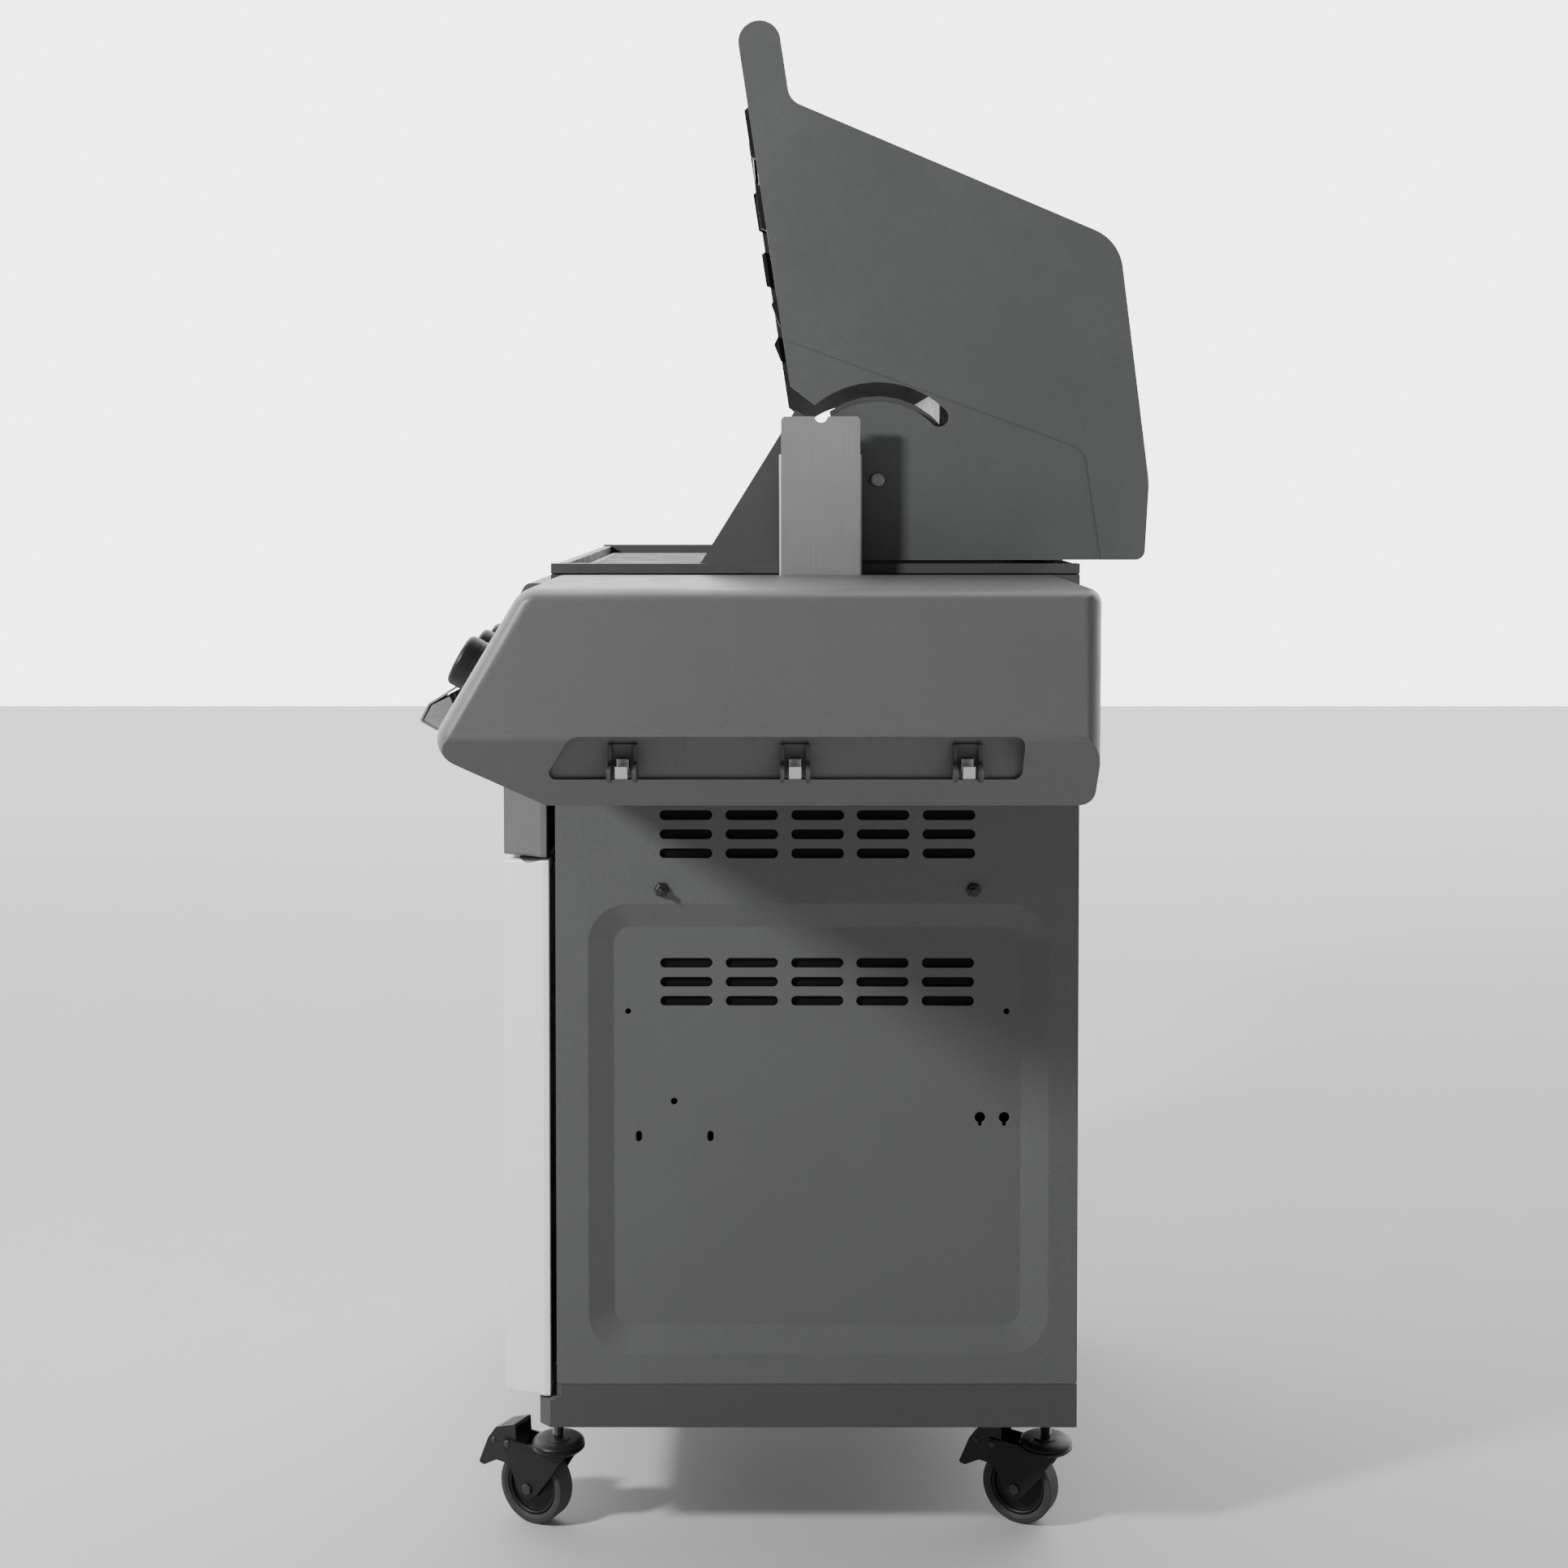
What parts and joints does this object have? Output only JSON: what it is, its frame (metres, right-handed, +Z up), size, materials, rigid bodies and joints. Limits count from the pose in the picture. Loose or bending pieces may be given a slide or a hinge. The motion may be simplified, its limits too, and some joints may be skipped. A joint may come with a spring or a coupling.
{
  "type": "gas barbecue grill",
  "caption": "Cabinet gas grill on braked casters: hinged lid, cast grates over tube burners, sloping control panel with push-and-turn knobs, side tables, doors and a pull-out grease tray",
  "frame": {"origin": "on the floor, under the middle of the bounding box at rest (lid open)", "axes": "X to the grill's right-hand side, -Y to its front where the knobs are, Z up"},
  "size_m": [1.28, 0.7977, 1.5992],
  "materials": {
    "charcoal_paint": "satin powder coat",
    "cast_aluminium": "painted casting, fine texture",
    "end_casting": "painted casting, dark",
    "fascia_paint": "satin metallic paint",
    "door_steel": "brushed, bright",
    "stainless": "brushed",
    "enamel": "vitreous enamel",
    "grate_iron": "seasoned casting",
    "drip_foil": "thin foil",
    "brass": "as machined",
    "knob_plastic": "satin moulded",
    "tray_grip": "satin moulded",
    "caster_plastic": "moulded nylon",
    "caster_tyre": "matte grey tread"
  },
  "bodies": {
    "root": {"base_frame": "charcoal_paint", "side_panel_right": "charcoal_paint", "side_panel_left": "charcoal_paint", "rear_panel": "charcoal_paint", "control_panel": "charcoal_paint", "side_table_right": "charcoal_paint", "side_table_left": "charcoal_paint", "cookbox_end_right": "end_casting", "cookbox_end_left": "end_casting", "front_fascia": "fascia_paint", "spit_bracket_right": "stainless", "spit_bracket_left": "stainless", "lid_hinge_pin_right": "stainless", "lid_hinge_pin_left": "stainless", "burner_1": "stainless", "burner_2": "stainless", "burner_3": "stainless", "warming_rack": "stainless", "cookbox": "enamel", "heat_tent_1": "enamel", "heat_tent_2": "enamel", "heat_tent_3": "enamel", "cooking_grate_right": "grate_iron", "cooking_grate_left": "grate_iron", "valve_1": "brass", "valve_2": "brass", "valve_3": "brass", "gas_manifold": "brass"},
    "lid": {"lid_shell": "charcoal_paint", "lid_cap_right": "cast_aluminium", "lid_cap_left": "cast_aluminium", "lid_liner": "enamel", "lid_handle": "stainless", "lid_thermometer": "stainless"},
    "door_right": {"door_right": "door_steel", "door_handle_right": "door_steel"},
    "door_left": {"door_left": "door_steel", "door_handle_left": "door_steel"},
    "tray": {"grease_tray": "enamel", "tray_handle": "tray_grip", "drip_pan": "drip_foil"},
    "stem_1": {"valve_stem_1": "stainless"},
    "knob_1": {"knob_1": "knob_plastic"},
    "stem_2": {"valve_stem_2": "stainless"},
    "knob_2": {"knob_2": "knob_plastic"},
    "stem_3": {"valve_stem_3": "stainless"},
    "knob_3": {"knob_3": "knob_plastic"},
    "caster_front_right": {"caster_fork_front_right": "caster_plastic"},
    "wheel_front_right": {"caster_wheel_front_right": "caster_tyre"},
    "brake_front_right": {"brake_pedal_front_right": "caster_plastic"},
    "caster_front_left": {"caster_fork_front_left": "caster_plastic"},
    "wheel_front_left": {"caster_wheel_front_left": "caster_tyre"},
    "brake_front_left": {"brake_pedal_front_left": "caster_plastic"},
    "caster_rear_right": {"caster_fork_rear_right": "caster_plastic"},
    "wheel_rear_right": {"caster_wheel_rear_right": "caster_tyre"},
    "brake_rear_right": {"brake_pedal_rear_right": "caster_plastic"},
    "caster_rear_left": {"caster_fork_rear_left": "caster_plastic"},
    "wheel_rear_left": {"caster_wheel_rear_left": "caster_tyre"},
    "brake_rear_left": {"brake_pedal_rear_left": "caster_plastic"}
  },
  "joints": [
    {"name": "lid_hinge", "type": "hinge", "parent": "root", "child": "lid", "pos_m": [0, 0.12, 1.127], "axis": [1, 0, 0], "range_deg": [0, 81.3]},
    {"name": "door_right_hinge", "type": "hinge", "parent": "root", "child": "door_right", "pos_m": [0.3225, -0.228, 0.449], "axis": [0, 0, 1], "range_deg": [0, 110]},
    {"name": "door_left_hinge", "type": "hinge", "parent": "root", "child": "door_left", "pos_m": [-0.3225, -0.228, 0.449], "axis": [0, 0, -1], "range_deg": [0, 110]},
    {"name": "tray_slide", "type": "slide", "parent": "root", "child": "tray", "axis": [0, -1, 0], "range_m": [0, 0.3]},
    {"name": "knob_1_push", "type": "slide", "parent": "root", "child": "stem_1", "axis": [0, 0.8829, -0.4695], "range_m": [0, 0.005], "stiffness_N_per_m": 1500, "springref_m": -0.003},
    {"name": "knob_1_turn", "type": "hinge", "parent": "stem_1", "child": "knob_1", "pos_m": [-0.108, -0.307, 0.902], "axis": [0, -0.8829, 0.4695], "range_deg": [0, 150]},
    {"name": "knob_2_push", "type": "slide", "parent": "root", "child": "stem_2", "axis": [0, 0.8829, -0.4695], "range_m": [0, 0.005], "stiffness_N_per_m": 1500, "springref_m": -0.003},
    {"name": "knob_2_turn", "type": "hinge", "parent": "stem_2", "child": "knob_2", "pos_m": [0, -0.307, 0.902], "axis": [0, -0.8829, 0.4695], "range_deg": [0, 150]},
    {"name": "knob_3_push", "type": "slide", "parent": "root", "child": "stem_3", "axis": [0, 0.8829, -0.4695], "range_m": [0, 0.005], "stiffness_N_per_m": 1500, "springref_m": -0.003},
    {"name": "knob_3_turn", "type": "hinge", "parent": "stem_3", "child": "knob_3", "pos_m": [0.108, -0.307, 0.902], "axis": [0, -0.8829, 0.4695], "range_deg": [0, 150]},
    {"name": "swivel_front_right", "type": "hinge", "parent": "root", "child": "caster_front_right", "pos_m": [0.27, -0.22, 0.1], "axis": [0, 0, 1], "continuous": true},
    {"name": "wheel_front_right_spin", "type": "hinge", "parent": "caster_front_right", "child": "wheel_front_right", "pos_m": [0.25594, -0.24536, 0.04], "axis": [0.8746, -0.4848, 0], "continuous": true},
    {"name": "brake_front_right_pedal", "type": "hinge", "parent": "caster_front_right", "child": "brake_front_right", "pos_m": [0.24285, -0.26898, 0.083], "axis": [-0.8746, 0.4848, 0], "range_deg": [0, 14]},
    {"name": "swivel_front_left", "type": "hinge", "parent": "root", "child": "caster_front_left", "pos_m": [-0.27, -0.22, 0.1], "axis": [0, 0, 1], "continuous": true},
    {"name": "wheel_front_left_spin", "type": "hinge", "parent": "caster_front_left", "child": "wheel_front_left", "pos_m": [-0.28406, -0.24536, 0.04], "axis": [0.8746, -0.4848, 0], "continuous": true},
    {"name": "brake_front_left_pedal", "type": "hinge", "parent": "caster_front_left", "child": "brake_front_left", "pos_m": [-0.29715, -0.26898, 0.083], "axis": [-0.8746, 0.4848, 0], "range_deg": [0, 14]},
    {"name": "swivel_rear_right", "type": "hinge", "parent": "root", "child": "caster_rear_right", "pos_m": [0.27, 0.305, 0.1], "axis": [0, 0, 1], "continuous": true},
    {"name": "wheel_rear_right_spin", "type": "hinge", "parent": "caster_rear_right", "child": "wheel_rear_right", "pos_m": [0.25594, 0.27964, 0.04], "axis": [0.8746, -0.4848, 0], "continuous": true},
    {"name": "brake_rear_right_pedal", "type": "hinge", "parent": "caster_rear_right", "child": "brake_rear_right", "pos_m": [0.24285, 0.25602, 0.083], "axis": [-0.8746, 0.4848, 0], "range_deg": [0, 14]},
    {"name": "swivel_rear_left", "type": "hinge", "parent": "root", "child": "caster_rear_left", "pos_m": [-0.27, 0.305, 0.1], "axis": [0, 0, 1], "continuous": true},
    {"name": "wheel_rear_left_spin", "type": "hinge", "parent": "caster_rear_left", "child": "wheel_rear_left", "pos_m": [-0.28406, 0.27964, 0.04], "axis": [0.8746, -0.4848, 0], "continuous": true},
    {"name": "brake_rear_left_pedal", "type": "hinge", "parent": "caster_rear_left", "child": "brake_rear_left", "pos_m": [-0.29715, 0.25602, 0.083], "axis": [-0.8746, 0.4848, 0], "range_deg": [0, 14]}
  ]
}
